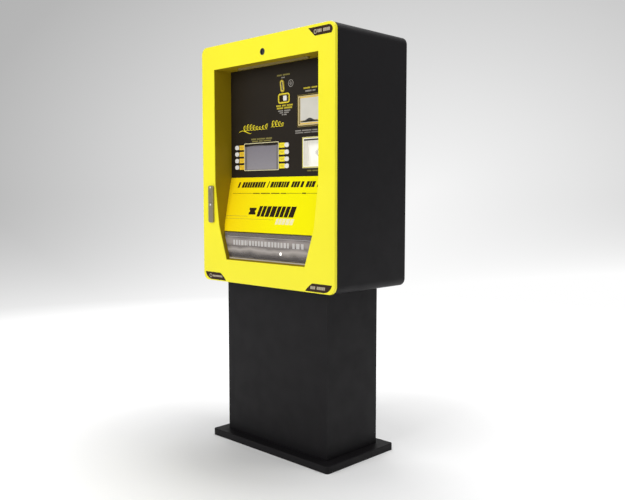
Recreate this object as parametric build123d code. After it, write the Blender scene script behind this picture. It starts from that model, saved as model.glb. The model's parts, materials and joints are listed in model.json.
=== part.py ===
from build123d import *
import math
import os

# Ticket vending machine: a wall-cabinet-shaped kiosk on a pedestal, millimetres.
# +Z is up, the front faces -Y, +X is to the right as seen from the front.
# The origin is on the floor, under the middle of the cabinet.

# ---------------------------------------------------------------- driving dimensions
CABINET_W = 800.0
CABINET_D = 432.0            # front face of the door to the rear panel
TOP = 1728.0
CABINET_Z = 707.0            # underside of the cabinet
CORNER_R = 32.0
SHEET = 2.5                  # cabinet and door steel

BASE_W, BASE_D, BASE_T = 710.0, 409.0, 29.0
BASE_CORNER_R = 12.0
PEDESTAL_W, PEDESTAL_D, PEDESTAL_SHEET = 609.0, 304.0, 3.0
BASE_SETBACK, PEDESTAL_SETBACK = 10.0, 62.0     # behind the door's front face
FLANGE_W = 40.0
ANCHOR_X, ANCHOR_Y, ANCHOR_R = 440.0, 180.0, 7.0
CABLE_ENTRY_R = 30.0
CABLE_HOLE_R = 26.0          # hole in the cabinet floor, filled by the gland

FRONT = -CABINET_D / 2
REAR = CABINET_D / 2
HANDLE_PROUD = 12.0
HOOD_PROUD = 12.0

DOOR_T = 13.0
DOOR_GAP = 3.0
SEAL_GAP = 0.3
RETURN_W, REAR_RETURN_W = 30.0, 20.0     # return flanges of the cabinet
STIFFENER_IN, STIFFENER_W, STIFFENER_T = 24.0, 14.0, 10.0

# Opening in the door: right half, from top to bottom, as (x, z)
OPENING = [(314.0, 1626.0), (314.0, 1140.0), (290.0, 955.0), (240.0, 805.0)]
PANEL_DEPTH = 94.0           # door face to the vertical user panel
PANEL_T = 3.0
FASCIA_TOP_Z = 1161.0
FASCIA_FOOT_Z, FASCIA_FOOT_DEPTH = 928.0, 24.0
LINER_T = 1.5
TRAY_DEPTH = 136.0
TRAY_FRONT = 26.0

SCREEN_X, SCREEN_Z = -113.0, 1249.0
FRAME_W, FRAME_H = 220.0, 118.0
GLASS_W, GLASS_H, GLASS_Z = 190.0, 101.0, 1244.5
BUTTON_W, BUTTON_H, BUTTON_PITCH = 26.0, 19.0, 28.7
BUTTON_REACH = 158.5         # screen centre to button centre
BUTTON_PROUD, BUTTON_GAP = 4.0, 0.4
BUTTON_COLLAR = 3.0          # how much wider the collar behind the panel is

COIN_X, COIN_Z, COIN_TILT = 19.5, 1534.0, 8.0
COIN_W, COIN_H = 24.0, 52.0
RETURN_X, RETURN_Z, RETURN_FRAME_W, RETURN_FRAME_H = 28.5, 1483.5, 69.0, 41.0
RETURN_BUTTON_X, RETURN_BUTTON = 36.0, 21.0

NOTE_X, NOTE_Z, NOTE_W, NOTE_H = 178.0, 1424.0, 140.0, 128.0
NOTE_SLOT_W, NOTE_SLOT_H, NOTE_SLOT_Z = 80.0, 6.0, 1381.0
POCKET_X, POCKET_Z, POCKET_W, POCKET_H, POCKET_DEPTH = 192.0, 1256.0, 110.0, 124.0, 26.0
POCKET_RIM = 8.0

CAMERA_Z, CAMERA_R = 1664.0, 14.0

FLAP_AXIS_Z, FLAP_AXIS_DEPTH = 920.0, 24.0
FLAP_KNUCKLE_R, FLAP_PIN_R, FLAP_T, FLAP_FOOT_Z = 5.0, 2.5, 4.0, 808.0
FLAP_REACH = 270.0           # half the length of the flap's barrel
STOP_LIP_Z = 816.0           # top of the lip that the flap rests against
RUNNING = 0.05               # radial clearance of a running fit

HANDLE_X, HANDLE_TOP, HANDLE_SPLIT, HANDLE_FOOT = -334.0, 1126.0, 1051.0, 964.0
HANDLE_W, ESCUTCHEON_T = 33.0, 2.5
HUB_Z = (HANDLE_TOP + HANDLE_SPLIT) / 2
LEVER_PIVOT_Z, LEVER_PIVOT_PROUD = 1048.5, 9.8
SHAFT_R, CAM_R, CAM_PIN_R, CAM_PIN_ORBIT = 8.0, 16.0, 2.5, 12.0
CAM_DEPTH, ROD_DEPTH, ROD_T, ROD_W = 20.0, 24.5, 5.0, 15.0

HINGE_AXIS_X, HINGE_AXIS_DEPTH = 394.0, 6.5
HINGE_Z = [820.0, 1217.0, 1610.0]
HINGE_ARM_H, HINGE_PIN_R = 28.0, 2.0

FAN_X, FAN_Z, FAN_SIZE, FAN_T, FAN_BORE_R = 0.0, 1590.0, 120.0, 25.0, 56.0

DOOR_BACK = 235.0            # depth of the deepest unit that the door carries
SHELF_Z, SHELF_T = FASCIA_FOOT_Z, 2.0
PLATE_Y = 190.0              # front face of the fixed equipment plate

CABINET_H = TOP - CABINET_Z
CABINET_MID_Z = (TOP + CABINET_Z) / 2
BASE_Y = FRONT + BASE_SETBACK + BASE_D / 2
PEDESTAL_Y = FRONT + PEDESTAL_SETBACK + PEDESTAL_D / 2
SHELL_FRONT = FRONT + DOOR_T + DOOR_GAP
PANEL_Y = FRONT + PANEL_DEPTH

parts = {}


# ---------------------------------------------------------------- helpers
def block(x0, x1, y0, y1, z0, z1):
    """Box between two corners."""
    return Pos((x0 + x1) / 2, (y0 + y1) / 2, (z0 + z1) / 2) * Box(x1 - x0, y1 - y0, z1 - z0)


def upright(sketch, y0, y1):
    """Extrude a sketch drawn in X and Z from y0 back to y1."""
    plane = Plane(origin=(0, y1, 0), x_dir=(1, 0, 0), z_dir=(0, -1, 0))
    return extrude(plane * sketch, amount=y1 - y0, dir=(0, -1, 0))


def flat(sketch, z0, z1):
    """Extrude a sketch drawn in X and Y from z0 up to z1."""
    return extrude(Plane.XY.offset(z0) * sketch, amount=z1 - z0, dir=(0, 0, 1))


def rod_y(x, z, radius, y0, y1):
    return upright(Pos(x, z) * Circle(radius), y0, y1)


def rod_z(x, y, radius, z0, z1):
    return flat(Pos(x, y) * Circle(radius), z0, z1)


def rod_x(y, z, radius, x0, x1):
    plane = Plane(origin=(x0, y, z), x_dir=(0, 1, 0), z_dir=(1, 0, 0))
    return extrude(plane * Circle(radius), amount=x1 - x0, dir=(1, 0, 0))


def rounded(x, z, width, height, radius):
    return Pos(x, z) * RectangleRounded(width, height, radius)


def capsule(x, z, width, height, turn=0.0):
    return Pos(x, z) * SlotOverall(width, height, rotation=turn)


def side_profile(points, x0, x1):
    """Extrude a closed outline drawn in Y and Z from x0 to x1."""
    plane = Plane(origin=(x0, 0, 0), x_dir=(0, 1, 0), z_dir=(1, 0, 0))
    return extrude(plane * Polygon(*points, align=None), amount=x1 - x0, dir=(1, 0, 0))


def cabinet_outline(inset=0.0):
    """Rounded front outline of the cabinet and door, pulled in by inset."""
    radius = max(CORNER_R - inset, 1.0)
    return rounded(0, CABINET_MID_Z, CABINET_W - 2 * inset, CABINET_H - 2 * inset, radius)


def opening_outline(grow=0.0):
    """Tapered outline of the door opening, grown outwards by grow."""
    left = [(-x, z) for x, z in reversed(OPENING)]
    outline = Polygon(*OPENING, *left, align=None)
    return offset(outline, amount=grow, kind=Kind.INTERSECTION) if grow else outline


def casing(x0, x1, y0, y1, z0, z1, wall=1.5, radius=3.0):
    """Sheet-metal unit: a hollow box with rounded upright edges."""
    outer = block(x0, x1, y0, y1, z0, z1)
    outer = fillet(outer.edges().filter_by(Axis.Y), radius)
    return outer - block(x0 + wall, x1 - wall, y0 + wall, y1 - wall, z0 + wall, z1 - wall)


def mirrored(x_list):
    return [sign * x for x in x_list for sign in (-1, 1)]


def save(name, *solids):
    """Keep a node, as one shape or as a group of separate solids."""
    parts[name] = solids[0] if len(solids) == 1 else Compound(children=list(solids))


# ---------------------------------------------------------------- pedestal
def make_base_plate():
    plate = flat(Pos(0, BASE_Y) * RectangleRounded(BASE_W, BASE_D, BASE_CORNER_R), 0, BASE_T)
    plate = fillet(plate.edges().group_by(Axis.Z)[-1], 3)
    holes = [Pos(0, PEDESTAL_Y) * Circle(CABLE_ENTRY_R)]
    for x in mirrored([ANCHOR_X / 2]):
        for y in (-ANCHOR_Y / 2, ANCHOR_Y / 2):
            holes.append(Pos(x, PEDESTAL_Y + y) * Circle(ANCHOR_R))
    for hole in holes:
        plate -= flat(hole, 0, BASE_T)
    save("base_plate", plate)


FRAME_BOLT_X, FRAME_BOLT_Y, FRAME_BOLT_R = 240.0, 127.0, 6.0
COVER_W, COVER_H, COVER_MID_Z = 520.0, 600.0, 365.0
COVER_SCREW_R, COVER_SCREW_IN, COVER_LAP, COVER_T = 3.0, 15.0, 30.0, 2.0


def frame_bolt_places():
    return [(x, PEDESTAL_Y + y) for x in mirrored([FRAME_BOLT_X]) for y in (-FRAME_BOLT_Y, FRAME_BOLT_Y)]


def cover_screw_places():
    half_w, half_h = COVER_W / 2 - COVER_SCREW_IN, COVER_H / 2 - COVER_SCREW_IN
    return [(x, COVER_MID_Z + z) for x in mirrored([half_w]) for z in (-half_h, 0, half_h)]


def make_pedestal_shell():
    outer = Rectangle(PEDESTAL_W, PEDESTAL_D)
    inner = Rectangle(PEDESTAL_W - 2 * PEDESTAL_SHEET, PEDESTAL_D - 2 * PEDESTAL_SHEET)
    mouth = Rectangle(PEDESTAL_W - 2 * FLANGE_W, PEDESTAL_D - 2 * FLANGE_W)
    walls = flat(Pos(0, PEDESTAL_Y) * (outer - inner), BASE_T, CABINET_Z)
    flange = Pos(0, PEDESTAL_Y) * (inner - mouth)
    shell = walls + flat(flange, BASE_T, BASE_T + PEDESTAL_SHEET)
    shell += flat(flange, CABINET_Z - PEDESTAL_SHEET, CABINET_Z)
    rear = PEDESTAL_Y + PEDESTAL_D / 2
    half_w, half_h = COVER_W / 2 - COVER_LAP, COVER_H / 2 - COVER_LAP
    shell -= block(-half_w, half_w, rear - PEDESTAL_SHEET, rear, COVER_MID_Z - half_h, COVER_MID_Z + half_h)
    for x, z in cover_screw_places():
        shell -= rod_y(x, z, COVER_SCREW_R, rear - PEDESTAL_SHEET, rear)
    for x, y in frame_bolt_places():
        shell -= rod_z(x, y, FRAME_BOLT_R, BASE_T, BASE_T + PEDESTAL_SHEET)
        shell -= rod_z(x, y, FRAME_BOLT_R, CABINET_Z - PEDESTAL_SHEET, CABINET_Z)
    save("pedestal_shell", shell)


def make_pedestal_cover():
    rear = PEDESTAL_Y + PEDESTAL_D / 2
    cover = upright(rounded(0, COVER_MID_Z, COVER_W, COVER_H, 6), rear, rear + COVER_T)
    for x, z in cover_screw_places():
        cover -= rod_y(x, z, COVER_SCREW_R, rear, rear + COVER_T)
    save("pedestal_rear_cover", cover)


BOLT_HEAD_R, BOLT_HEAD_T, BOLT_NUT_T, BOLT_PLAY = 10.5, 7.5, 10.0, 0.2


def make_frame_bolts():
    """Bolts through the pedestal's two flanges, into the base plate and the cabinet floor."""
    bolts = []
    foot_z, neck_z, floor_z = BASE_T + PEDESTAL_SHEET, CABINET_Z - PEDESTAL_SHEET, CABINET_Z + SHEET
    for x, y in frame_bolt_places():
        head = Pos(x, y) * RegularPolygon(BOLT_HEAD_R, 6)
        foot = rod_z(x, y, FRAME_BOLT_R - BOLT_PLAY, BASE_T, foot_z)
        foot += flat(head, foot_z, foot_z + BOLT_HEAD_T)
        neck = rod_z(x, y, FRAME_BOLT_R - BOLT_PLAY, neck_z, floor_z)
        neck += flat(head, neck_z - BOLT_HEAD_T, neck_z)
        neck += flat(head, floor_z, floor_z + BOLT_NUT_T)
        bolts += [foot, neck]
    save("frame_bolts", *bolts)


# ---------------------------------------------------------------- cabinet
HOOD_W, HOOD_H, HOOD_T = 160.0, 170.0, 2.0
LOUVRE_X, LOUVRE_Z, LOUVRE_W, LOUVRE_H = 105.0, 787.0, 150.0, 6.0
LOUVRE_PITCH, LOUVRE_COUNT = 16.0, 8
PANEL_SCREW_IN = 10.0
HINGE_NOTCH = 16.0           # hinge axis to the inner end of the arm's notch


def rear_screw_places():
    half_w = CABINET_W / 2 - SHEET - PANEL_SCREW_IN
    rows = [CABINET_Z + 60, CABINET_MID_Z - 150, CABINET_MID_Z + 150, TOP - 60]
    return [(x, z) for x in mirrored([half_w]) for z in rows]


def make_cabinet_shell():
    """Folded sleeve with a return flange at each end."""
    sleeve = upright(cabinet_outline() - cabinet_outline(SHEET), SHELL_FRONT, REAR)
    front_return = cabinet_outline(SHEET) - cabinet_outline(SHEET + RETURN_W)
    rear_return = cabinet_outline(SHEET) - cabinet_outline(SHEET + REAR_RETURN_W)
    shell = sleeve + upright(front_return, SHELL_FRONT, SHELL_FRONT + SHEET)
    shell += upright(rear_return, REAR - 2 * SHEET, REAR - SHEET)
    for z in HINGE_Z:
        half = HINGE_ARM_H / 2 + 1
        notch_x = HINGE_AXIS_X - HINGE_NOTCH
        shell -= block(notch_x, CABINET_W / 2 - SHEET, SHELL_FRONT, SHELL_FRONT + SHEET, z - half, z + half)
    for x, y in frame_bolt_places():
        shell -= rod_z(x, y, FRAME_BOLT_R, CABINET_Z, CABINET_Z + SHEET)
    shell -= rod_z(0, PEDESTAL_Y, CABLE_HOLE_R, CABINET_Z, CABINET_Z + SHEET)
    for x, z in rear_screw_places():
        shell -= rod_y(x, z, COVER_SCREW_R, REAR - 2 * SHEET, REAR - SHEET)
    save("cabinet_shell", shell)


def make_rear_panel():
    panel = upright(cabinet_outline(SHEET), REAR - SHEET, REAR)
    panel -= rod_y(FAN_X, FAN_Z, FAN_BORE_R, REAR - SHEET, REAR)
    for x, z in rear_screw_places():
        panel -= rod_y(x, z, COVER_SCREW_R, REAR - SHEET, REAR)
    for x in mirrored([LOUVRE_X]):
        for row in range(LOUVRE_COUNT):
            z = LOUVRE_Z + row * LOUVRE_PITCH
            panel -= upright(capsule(x, z, LOUVRE_W, LOUVRE_H), REAR - SHEET, REAR)
    save("rear_panel", panel)


SCREW_HEAD_R, SCREW_HEAD_T, SCREW_TIP = 5.5, 3.0, 4.0


def pan_head_screw(x, z, tip, seat):
    """Screw along Y, from its tip to the face that its head rests on."""
    return rod_y(x, z, COVER_SCREW_R, tip, seat) + rod_y(x, z, SCREW_HEAD_R, seat, seat + SCREW_HEAD_T)


def make_cover_screws():
    """Screws of the rear panel and of the pedestal's rear cover."""
    rear = PEDESTAL_Y + PEDESTAL_D / 2
    screws = [pan_head_screw(x, z, REAR - 2 * SHEET - SCREW_TIP, REAR) for x, z in rear_screw_places()]
    cover_tip = rear - PEDESTAL_SHEET - SCREW_TIP
    screws += [pan_head_screw(x, z, cover_tip, rear + COVER_T) for x, z in cover_screw_places()]
    save("cover_screws", *screws)


def make_exhaust_hood():
    """Rain hood over the fan, open at its foot and towards the panel."""
    half = HOOD_W / 2
    low, high = FAN_Z - HOOD_H / 2, FAN_Z + HOOD_H / 2
    hood = block(FAN_X - half, FAN_X + half, REAR, REAR + HOOD_PROUD, low, high)
    hood = fillet(hood.edges().filter_by(Axis.Z).group_by(Axis.Y)[-1], 4)
    inner = half - HOOD_T
    hood -= block(FAN_X - inner, FAN_X + inner, REAR, REAR + HOOD_PROUD - HOOD_T, low, high - HOOD_T)
    save("exhaust_hood", hood)


FAN_AXLE_R, FAN_HUB_R, FAN_MOTOR_R, SPOKE_T = 3.0, 18.0, 20.0, 3.0
BLADE_COUNT, BLADE_L, BLADE_W, BLADE_T, BLADE_PITCH, BLADE_ORBIT = 7, 37.0, 16.0, 2.0, 40.0, 36.0


def make_fan():
    """Axial fan: square housing with a spoked motor mount, and a rotor on its axle."""
    y0, y1 = REAR - SHEET - FAN_T, REAR - SHEET
    body = upright(rounded(FAN_X, FAN_Z, FAN_SIZE, FAN_SIZE, 6), y0, y1)
    body -= rod_y(FAN_X, FAN_Z, FAN_BORE_R, y0, y1)
    spoke = Pos(FAN_BORE_R / 2 + 8, 0) * Rectangle(FAN_BORE_R - 10, 5)
    for turn in (45, 135, 225, 315):
        body += upright(Pos(FAN_X, FAN_Z) * (Rot(0, 0, turn) * spoke), y0, y0 + SPOKE_T)
    body += rod_y(FAN_X, FAN_Z, FAN_MOTOR_R, y0, y0 + SPOKE_T)
    body += rod_y(FAN_X, FAN_Z, FAN_AXLE_R, y0 + SPOKE_T, y1 - 6)
    save("fan_housing", body)

    rotor = rod_y(FAN_X, FAN_Z, FAN_HUB_R, y0 + SPOKE_T + 1, y1 - 3)
    rotor -= rod_y(FAN_X, FAN_Z, FAN_AXLE_R + RUNNING, y0 + SPOKE_T + 1, y1 - 5.5)
    blade = Pos(BLADE_ORBIT, 0, 0) * (Rot(BLADE_PITCH, 0, 0) * Box(BLADE_L, BLADE_T, BLADE_W))
    for count in range(BLADE_COUNT):
        turned = Rot(0, count * 360 / BLADE_COUNT, 0) * blade
        rotor += Pos(FAN_X, (y0 + y1) / 2 + 0.5, FAN_Z) * turned
    save("fan_rotor", rotor)


HINGE_BARREL_R, HINGE_ARM_T, HINGE_REACH = 4.0, 4.0, 14.0
HINGE_BACK, HINGE_FOOT, HINGE_EAR = 36.0, 70.0, 12.0


def make_hinges():
    """Swan-neck arms on the cabinet; pins in their brackets on the door."""
    arms, hinges = [], []
    ax, ay = HINGE_AXIS_X, FRONT + HINGE_AXIS_DEPTH
    wall = CABINET_W / 2 - SHEET
    inner, back = ax - HINGE_REACH, ay + HINGE_BACK
    half_t = HINGE_ARM_T / 2
    for z in HINGE_Z:
        low, high = z - HINGE_ARM_H / 2, z + HINGE_ARM_H / 2
        arm = rod_z(ax, ay, HINGE_BARREL_R, low, high)
        arm += block(inner, ax, ay - half_t, ay + half_t, low, high)
        arm += block(inner, inner + HINGE_ARM_T, ay - half_t, back + HINGE_ARM_T, low, high)
        arm += block(inner, wall, back, back + HINGE_ARM_T, low, high)
        arm += block(wall - HINGE_ARM_T, wall, back, ay + HINGE_FOOT, low, high)
        arm -= rod_z(ax, ay, HINGE_PIN_R + RUNNING, low, high)
        arms.append(arm)
        hinge = rod_z(ax, ay, HINGE_PIN_R, low - HINGE_EAR, high + HINGE_EAR)
        for z0, z1 in ((low - HINGE_EAR, low - 0.4), (high + 0.4, high + HINGE_EAR)):
            hinge += block(ax - 10, ax + 4, FRONT + SHEET, ay + 3.5, z0, z1)
        hinges.append(hinge)
    save("hinge_arms", *arms)
    save("door_hinge_pins", *hinges)


PLATE_X, PLATE_T, PLATE_LOW, PLATE_HIGH = 330.0, 2.0, 780.0, 1490.0
STANDOFF_X, STANDOFF_Z, STANDOFF_R = 300.0, (830.0, 1440.0), 10.0
COMPUTER_X, COMPUTER_Z, COMPUTER_D = (-300.0, -20.0), (1230.0, 1430.0), 75.0
FIN_COUNT, FIN_PITCH, FIN_T, FIN_H = 9, 31.0, 4.0, 8.0
SUPPLY_X, SUPPLY_Z, SUPPLY_D, SUPPLY_WALL = (60.0, 275.0), (1310.0, 1425.0), 55.0, 1.5
VENT_COUNT, VENT_PITCH, VENT_W = 8, 24.0, 8.0
GLAND_BORE_R, GLAND_NUT_R, GLAND_NUT_H, GLAND_H = 14.0, 40.0, 16.0, 30.0


def make_equipment():
    """Fixed units on a plate inside the rear of the cabinet, and the gland in its floor."""
    plate = block(-PLATE_X, PLATE_X, PLATE_Y, PLATE_Y + PLATE_T, PLATE_LOW, PLATE_HIGH)
    for x in mirrored([STANDOFF_X]):
        for z in STANDOFF_Z:
            plate += rod_y(x, z, STANDOFF_R, PLATE_Y + PLATE_T, REAR - SHEET)
    save("equipment_plate", plate)

    front = PLATE_Y - COMPUTER_D
    computer = casing(*COMPUTER_X, front, PLATE_Y, *COMPUTER_Z)
    for fin in range(FIN_COUNT):
        x = COMPUTER_X[0] + 15 + fin * FIN_PITCH
        computer += block(x, x + FIN_T, front - FIN_H, front, COMPUTER_Z[0] + 10, COMPUTER_Z[1] - 10)
    save("industrial_computer", computer)

    front = PLATE_Y - SUPPLY_D
    supply = casing(*SUPPLY_X, front, PLATE_Y, *SUPPLY_Z)
    for vent in range(VENT_COUNT):
        x = SUPPLY_X[0] + 20 + vent * VENT_PITCH
        supply -= block(x, x + VENT_W, front, front + SUPPLY_WALL, SUPPLY_Z[0] + 20, SUPPLY_Z[1] - 20)
    save("power_supply", supply)

    gland = rod_z(0, PEDESTAL_Y, CABLE_HOLE_R, CABINET_Z, CABINET_Z + GLAND_H)
    nut = Pos(0, PEDESTAL_Y) * RegularPolygon(GLAND_NUT_R, 6)
    gland += flat(nut, CABINET_Z + SHEET, CABINET_Z + GLAND_NUT_H)
    gland -= rod_z(0, PEDESTAL_Y, GLAND_BORE_R, CABINET_Z, CABINET_Z + GLAND_H)
    save("cable_gland", gland)


# ---------------------------------------------------------------- door structure
def make_door_frame():
    pan = upright(cabinet_outline(), FRONT, FRONT + DOOR_T)
    pan = fillet(pan.edges().group_by(Axis.Y)[0], 3)
    pan -= upright(cabinet_outline(2), FRONT + SHEET, FRONT + DOOR_T)
    pan -= upright(opening_outline(), FRONT, FRONT + SHEET)
    pan -= rod_y(0, CAMERA_Z, CAMERA_R, FRONT, FRONT + SHEET)
    pan -= rod_y(HANDLE_X, HUB_Z, SHAFT_R + 1, FRONT, FRONT + SHEET)
    save("door_frame", pan)


def make_door_stiffener():
    ring = cabinet_outline(STIFFENER_IN) - cabinet_outline(STIFFENER_IN + STIFFENER_W)
    tube = upright(ring, FRONT + SHEET, FRONT + SHEET + STIFFENER_T)
    hollow = cabinet_outline(STIFFENER_IN + 2) - cabinet_outline(STIFFENER_IN + STIFFENER_W - 2)
    tube -= upright(hollow, FRONT + SHEET, FRONT + SHEET + STIFFENER_T - 2)
    save("door_stiffener", tube)
    back = FRONT + SHEET + STIFFENER_T
    seal = cabinet_outline(STIFFENER_IN + 1) - cabinet_outline(STIFFENER_IN + STIFFENER_W - 1)
    save("door_seal", upright(seal, back, SHELL_FRONT - SEAL_GAP))


def make_recess_liner():
    """Reveal walls around the opening, with a fixing flange and the flap's stop lip."""
    y0 = FRONT + SHEET
    liner = upright(opening_outline(LINER_T) - opening_outline(), y0, PANEL_Y)
    liner += upright(opening_outline(8) - opening_outline(), y0, y0 + LINER_T)
    liner -= block(-330, 330, FRONT + TRAY_FRONT, PANEL_Y, 790, FASCIA_FOOT_Z)
    lip_back = FRONT + FLAP_AXIS_DEPTH - FLAP_KNUCKLE_R - SEAL_GAP
    lip = upright(opening_outline(), lip_back - 2, lip_back)
    lip &= block(-300, 300, lip_back - 2, lip_back, OPENING[-1][1], STOP_LIP_Z)
    save("recess_liner", liner + lip)


STRIP_X, STRIP_DEPTH, STRIP_W, STRIP_T = 210.0, 48.0, 14.0, 7.0


def make_light_strip():
    """Lamp along the roof of the recess."""
    y0, roof = FRONT + STRIP_DEPTH, OPENING[0][1]
    strip = block(-STRIP_X, STRIP_X, y0, y0 + STRIP_W, roof - STRIP_T, roof)
    save("light_strip", fillet(strip.edges().filter_by(Axis.X).group_by(Axis.Z)[0], 2))


def fascia_slab():
    """Sloping plate from the foot of the user panel down to the flap."""
    top = (PANEL_Y, FASCIA_TOP_Z)
    foot = (FRONT + FASCIA_FOOT_DEPTH, FASCIA_FOOT_Z)
    run = math.hypot(top[0] - foot[0], top[1] - foot[1])
    back_y, back_z = (top[1] - foot[1]) / run * PANEL_T, -(top[0] - foot[0]) / run * PANEL_T
    outline = [top, foot, (foot[0] + back_y, foot[1] + back_z), (top[0] + back_y, top[1] + back_z)]
    return side_profile(outline, -330, 330)


def make_lower_fascia():
    save("lower_fascia", fascia_slab() & upright(opening_outline(), FRONT, FRONT + 120))


def button_places():
    rows = [SCREEN_Z + (1.5 - row) * BUTTON_PITCH for row in range(4)]
    return [(side, row + 1, SCREEN_X + sign * BUTTON_REACH, z)
            for side, sign in (("left", -1), ("right", 1)) for row, z in enumerate(rows)]


def make_user_panel():
    panel = upright(opening_outline(LINER_T + 6), PANEL_Y, PANEL_Y + PANEL_T)
    panel -= block(-400, 400, PANEL_Y, PANEL_Y + PANEL_T, 700, FASCIA_TOP_Z)
    cuts = [Pos(SCREEN_X, GLASS_Z) * Rectangle(GLASS_W, GLASS_H)]
    gap = 2 * BUTTON_GAP
    cuts += [capsule(x, z, BUTTON_W + gap, BUTTON_H + gap) for _, _, x, z in button_places()]
    cuts.append(rounded(RETURN_BUTTON_X, RETURN_Z, RETURN_BUTTON + gap, RETURN_BUTTON + gap, 4))
    cuts.append(capsule(COIN_X, COIN_Z, 36, 6, 90 + COIN_TILT))
    cuts.append(Pos(NOTE_X, NOTE_SLOT_Z) * Rectangle(NOTE_SLOT_W + 4, NOTE_SLOT_H + 2))
    tub_w, tub_h = POCKET_W - 2 * POCKET_RIM + 3, POCKET_H - 2 * POCKET_RIM + 3
    cuts.append(Pos(POCKET_X, POCKET_Z) * Rectangle(tub_w, tub_h))
    for cut in cuts:
        panel -= upright(cut, PANEL_Y, PANEL_Y + PANEL_T)
    save("user_panel", panel)


# ---------------------------------------------------------------- user controls
def make_display():
    glass = Pos(SCREEN_X, GLASS_Z) * Rectangle(GLASS_W, GLASS_H)
    frame = rounded(SCREEN_X, SCREEN_Z, FRAME_W, FRAME_H, 2) - glass
    save("display_frame", upright(frame, PANEL_Y - 2.5, PANEL_Y))
    save("display_glass", upright(glass, PANEL_Y - 0.5, PANEL_Y + PANEL_T))
    back = PANEL_Y + PANEL_T
    save("display_module", casing(SCREEN_X - 112, SCREEN_X + 112, back, back + 14, 1186, 1311))


def make_buttons():
    """Eight function keys: a capsule cap and stem, kept in by a collar behind the panel."""
    back = PANEL_Y + PANEL_T
    for side, row, x, z in button_places():
        cap = upright(capsule(x, z, BUTTON_W, BUTTON_H), PANEL_Y - BUTTON_PROUD, back + 4)
        cap = fillet(cap.edges().group_by(Axis.Y)[0], 1.2)
        rim = capsule(x, z, BUTTON_W + BUTTON_COLLAR, BUTTON_H + BUTTON_COLLAR)
        collar = upright(rim, back + SEAL_GAP, back + 2)
        save(f"button_{side}_{row}", cap + collar)


def make_coin_units():
    y0 = PANEL_Y - 4
    bezel = upright(capsule(COIN_X, COIN_Z, COIN_H, COIN_W, 90 + COIN_TILT), y0, PANEL_Y)
    bezel = fillet(bezel.edges().group_by(Axis.Y)[0], 1.5)
    bezel -= upright(capsule(COIN_X, COIN_Z, 34, 4.4, 90 + COIN_TILT), y0, PANEL_Y)
    save("coin_slot_bezel", bezel)

    back = PANEL_Y + PANEL_T
    acceptor = casing(COIN_X - 50, COIN_X + 50, back, back + 62, 1503, 1600)
    acceptor -= upright(capsule(COIN_X, COIN_Z, 36, 6, 90 + COIN_TILT), back, back + 2)
    save("coin_acceptor", acceptor)

    frame = rounded(RETURN_X, RETURN_Z, RETURN_FRAME_W, RETURN_FRAME_H, 12)
    frame -= rounded(RETURN_X, RETURN_Z, RETURN_FRAME_W - 14, RETURN_FRAME_H - 14, 6)
    save("coin_return_frame", upright(frame, PANEL_Y - 2, PANEL_Y))

    size = RETURN_BUTTON
    key = upright(rounded(RETURN_BUTTON_X, RETURN_Z, size, size, 3.6), PANEL_Y - BUTTON_PROUD, back + 4)
    key = fillet(key.edges().group_by(Axis.Y)[0], 1.2)
    rim = rounded(RETURN_BUTTON_X, RETURN_Z, size + BUTTON_COLLAR, size + BUTTON_COLLAR, 4)
    key += upright(rim, back + SEAL_GAP, back + 2)
    save("coin_return_button", key)


def make_note_units():
    y0 = PANEL_Y - 3
    bezel = upright(rounded(NOTE_X, NOTE_Z, NOTE_W, NOTE_H, 3), y0, PANEL_Y)
    bezel = fillet(bezel.edges().group_by(Axis.Y)[0], 1)
    bezel -= upright(rounded(NOTE_X, NOTE_Z, NOTE_W - 34, NOTE_H - 18, 3), y0, y0 + 1.5)
    bezel -= upright(Pos(NOTE_X, NOTE_SLOT_Z) * Rectangle(NOTE_SLOT_W, NOTE_SLOT_H), y0, PANEL_Y)
    save("note_inlet_bezel", bezel)

    back = PANEL_Y + PANEL_T
    validator = casing(NOTE_X - 55, NOTE_X + 55, back, FRONT + 170, 1364, 1484)
    validator -= block(NOTE_X - 42, NOTE_X + 42, back, back + 1.5, NOTE_SLOT_Z - 4, NOTE_SLOT_Z + 4)
    stacker = casing(NOTE_X - 48, NOTE_X + 48, FRONT + 170, FRONT + DOOR_BACK, 1330, 1500)
    save("note_validator", validator + stacker)


def make_card_pocket():
    """Open-fronted pocket that a card stands in, over the reader's antenna."""
    outer = Pos(POCKET_X, POCKET_Z) * Rectangle(POCKET_W, POCKET_H)
    mouth_w, mouth_h = POCKET_W - 2 * POCKET_RIM, POCKET_H - 2 * POCKET_RIM
    mouth = Pos(POCKET_X, POCKET_Z) * Rectangle(mouth_w, mouth_h)
    tub = Pos(POCKET_X, POCKET_Z) * Rectangle(mouth_w + 3, mouth_h + 3)
    pocket = upright(outer - mouth, PANEL_Y - 3, PANEL_Y)
    back = PANEL_Y + POCKET_DEPTH
    pocket += upright(tub, PANEL_Y, back) - upright(mouth, PANEL_Y, back - 1.5)
    reader = casing(POCKET_X - 50, POCKET_X + 50, back, back + 22, 1205, 1307)
    save("card_pocket", pocket + reader)


def make_camera():
    y0, y1 = FRONT + SHEET, FRONT + 38
    housing = rounded(0, CAMERA_Z, 44, 40, 5)
    body = upright(housing, y0, y1) - rod_y(0, CAMERA_Z, CAMERA_R - 3, y0, y0 + 16)
    body += upright(Pos(0, CAMERA_Z) * (Circle(CAMERA_R - 0.1) - Circle(CAMERA_R - 3)), FRONT - 0.8, y0)
    save("camera_module", body)
    lens = rod_y(0, CAMERA_Z, CAMERA_R - 3, FRONT + 3, FRONT + 6)
    save("camera_lens", fillet(lens.edges().group_by(Axis.Y)[0], 1.2))


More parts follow.
